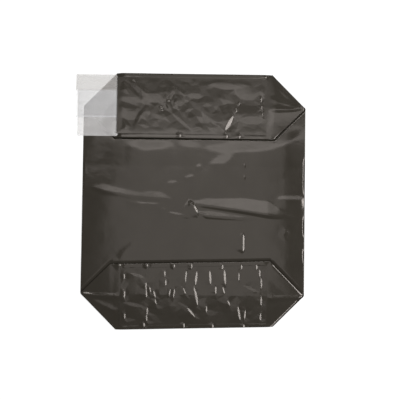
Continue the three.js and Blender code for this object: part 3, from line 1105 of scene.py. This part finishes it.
def overlapping(tree, shader, place, colour, milky):
    """Makes the upper ply clearer over the lower part, with a milky rim at its free edge. Its colour is
    paler there as painted light, and darker elsewhere as painted shade.
    """
    axes = add_node(tree, "ShaderNodeSeparateXYZ")
    link(tree, (place, axes.inputs[0]))
    start, end = (UNDER_FLAP_Y - 3) * MM, (UNDER_FLAP_Y + 1) * MM
    zone = ramp(tree, axes.outputs["Y"], start, end, OVERLAP_SHARE, 1.0)
    rim_start, rim_end = (UPPER_FLAP_Y + 4) * MM, (UPPER_FLAP_Y + 1) * MM
    rim = ramp(tree, axes.outputs["Y"], rim_start, rim_end, 0.0, RIM_SHARE)
    # painted light over the lower part, painted shade beyond it
    painted_light = add_node(tree, "ShaderNodeMix", data_type="RGBA")
    painted_light.inputs[MIX_FIRST].default_value = (*PAINTED_LIGHT_FILM_COLOUR, 1)
    painted_light.inputs[MIX_SECOND].default_value = (*colour, 1)
    link(tree, (ramp(tree, axes.outputs["Y"], start, end, 0.0, 1.0), painted_light.inputs[MIX_FACTOR]))
    link(tree, (painted_light.outputs[MIX_RESULT], shader.inputs["Base Color"]))
    return calculated(tree, "MULTIPLY", milky, calculated(tree, "ADD", zone, rim))


def see_through_film(name, colour, alpha, upper):
    """Milky see-through film with faint streaks along the sleeve."""
    material, tree, shader = principled(name)
    shader.inputs["Base Color"].default_value = (*colour, 1)
    place = add_node(tree, "ShaderNodeTexCoord").outputs["Object"]
    stretch = add_node(tree, "ShaderNodeMapping", Scale=FILM_STREAKS)
    link(tree, (place, stretch.inputs["Vector"]))
    milky = between(tree, noise(tree, stretch.outputs[0], 1.0, 3), *alpha)
    # the upper ply's colour carries painted light and painted shade by zone
    if upper:
        milky = overlapping(tree, shader, place, colour, milky)
    link(tree, (milky, shader.inputs["Alpha"]))
    link(tree, (between(tree, noise(tree, place, 50), *FILM_ROUGHNESS), shader.inputs["Roughness"]))
    waves = bump(tree, noise(tree, place, 40), FILM_RELIEF)
    link(tree, (waves.outputs[0], shader.inputs["Normal"]))
    return material


shell = bag_shell()
shell.data.materials.append(faced_fabric("faced_fabric", roughness=(0.11, 0.14)))
valve_patch = patch("valve_patch", VALVE_END, VALVE_PATCH_X, border=12)
bottom_patch = patch("bottom_patch", BOTTOM_END, BOTTOM_PATCH_X, border=6)
patch_fabric = faced_fabric("patch_fabric", roughness=(0.15, 0.19))
for sheet in (valve_patch, bottom_patch):
    sheet.data.materials.append(patch_fabric)
film = sleeve_film()
film.data.materials.append(see_through_film("clear_film", CLEAR_COLOUR, alpha=(0.165, 0.22), upper=False))
# upper ply: milky film whose colour holds painted shade and painted light
film.data.materials.append(see_through_film("milky_film_with_painted_light", MILKY_AND_PAINTED_SHADE_COLOUR, alpha=(0.35, 0.39), upper=True))

for piece, node, slot in (
    (shell, "bag_tube", "faced_fabric"),
    (valve_patch, "valve_end_patch", "patch_fabric"),
    (bottom_patch, "bottom_end_patch", "patch_fabric"),
    (film, "valve_sleeve", "clear_film"),
):
    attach(piece, "root")
    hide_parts(node)


# Floor, light and camera

FLOOR_HALF = 6
FLOOR_DROP = 0.0002
FLOOR_COLOUR = (0.3, 0.3, 0.3)
FLOOR_GLOW = 0.8
WORLD_LIGHT = 0.19

# Lamps: name, place, size, radiance and the point that they face
LAMPS = (
    ("overhead", (0, 0.08, 1.6), (0.84, 1.16), 0.93, (0, 0.08, 0)),
    ("overhead_strip", (0.1, LIGHT, 1.58), (1.4, 0.14), 2.1, (0.1, LIGHT, 0)),
    ("back_strip", (0.2, 1.15, 1.5), (2.0, 0.14), 16.0, (0.2, 0, 0)),
    ("side_strip", (1.0, -0.35, 1.6), (2.0, 0.28), 13.0, (0, -0.35, 0)),
)

# Camera: lens and sensor in millimetres, place in metres, pitch, yaw and roll in degrees
LENS = 50
SENSOR = 36
CAMERA_PLACE = (0.0136, -0.0264, 0.9979)
CAMERA_TURNS = (-1.58, -0.08, -0.77)


def floor():
    """Floor that looks white to the camera, in reflections and through film, but reflects less light."""
    corners = [(a * FLOOR_HALF, b * FLOOR_HALF, 0) for a, b in ((-1, -1), (1, -1), (1, 1), (-1, 1))]
    mesh = bpy.data.meshes.new("floor")
    mesh.from_pydata(corners, [], [(0, 1, 2, 3)])
    plane = bpy.data.objects.new("floor", mesh)
    plane.location.z = -FLOOR_DROP
    bpy.context.collection.objects.link(plane)
    material, tree, shader = principled("floor_white")
    shader.inputs["Base Color"].default_value = (*FLOOR_COLOUR, 1)
    shader.inputs["Roughness"].default_value = 0.9
    shader.inputs["Specular IOR Level"].default_value = 0.0
    path = add_node(tree, "ShaderNodeLightPath").outputs
    seen = calculated(tree, "MAXIMUM", path["Is Camera Ray"], path["Is Transmission Ray"])
    seen = calculated(tree, "MAXIMUM", seen, path["Is Glossy Ray"])
    glow = calculated(tree, "MULTIPLY", seen, FLOOR_GLOW)
    shader.inputs["Emission Color"].default_value = (1, 1, 1, 1)
    link(tree, (glow, shader.inputs["Emission Strength"]))
    mesh.materials.append(material)


def area_lamp(name, position, size, radiance, target):
    """A rectangular lamp that faces a point."""
    light = bpy.data.lights.new(name, "AREA")
    light.shape = "RECTANGLE"
    light.size, light.size_y = size
    light.energy = math.pi * size[0] * size[1] * radiance
    lamp = bpy.data.objects.new(name, light)
    lamp.location = position
    lamp.rotation_euler = (Vector(target) - Vector(position)).to_track_quat("-Z", "Y").to_euler()
    bpy.context.collection.objects.link(lamp)


def world():
    """White surroundings that give a little light."""
    studio = bpy.data.worlds.new("studio")
    studio.use_nodes = True
    bpy.context.scene.world = studio
    tree = studio.node_tree
    background = tree.nodes["Background"]
    background.inputs["Color"].default_value = (1, 1, 1, 1)
    seen = add_node(tree, "ShaderNodeLightPath").outputs["Is Camera Ray"]
    link(tree, (calculated(tree, "MAXIMUM", seen, WORLD_LIGHT), background.inputs["Strength"]))


def camera():
    """Camera over the bag, turned a little off the straight view down."""
    data = bpy.data.cameras.new("camera")
    data.lens = LENS
    data.sensor_width = SENSOR
    thing = bpy.data.objects.new("camera", data)
    pitch, yaw, roll = (
        Matrix.Rotation(math.radians(angle), 3, axis) for angle, axis in zip(CAMERA_TURNS, "XYZ")
    )
    to_camera = pitch @ yaw @ roll
    thing.matrix_world = Matrix.Translation(CAMERA_PLACE) @ to_camera.transposed().to_4x4()
    bpy.context.collection.objects.link(thing)
    bpy.context.scene.camera = thing


floor()
world()
for lamp in LAMPS:
    area_lamp(*lamp)
camera()
bpy.context.scene.view_settings.view_transform = "Standard"
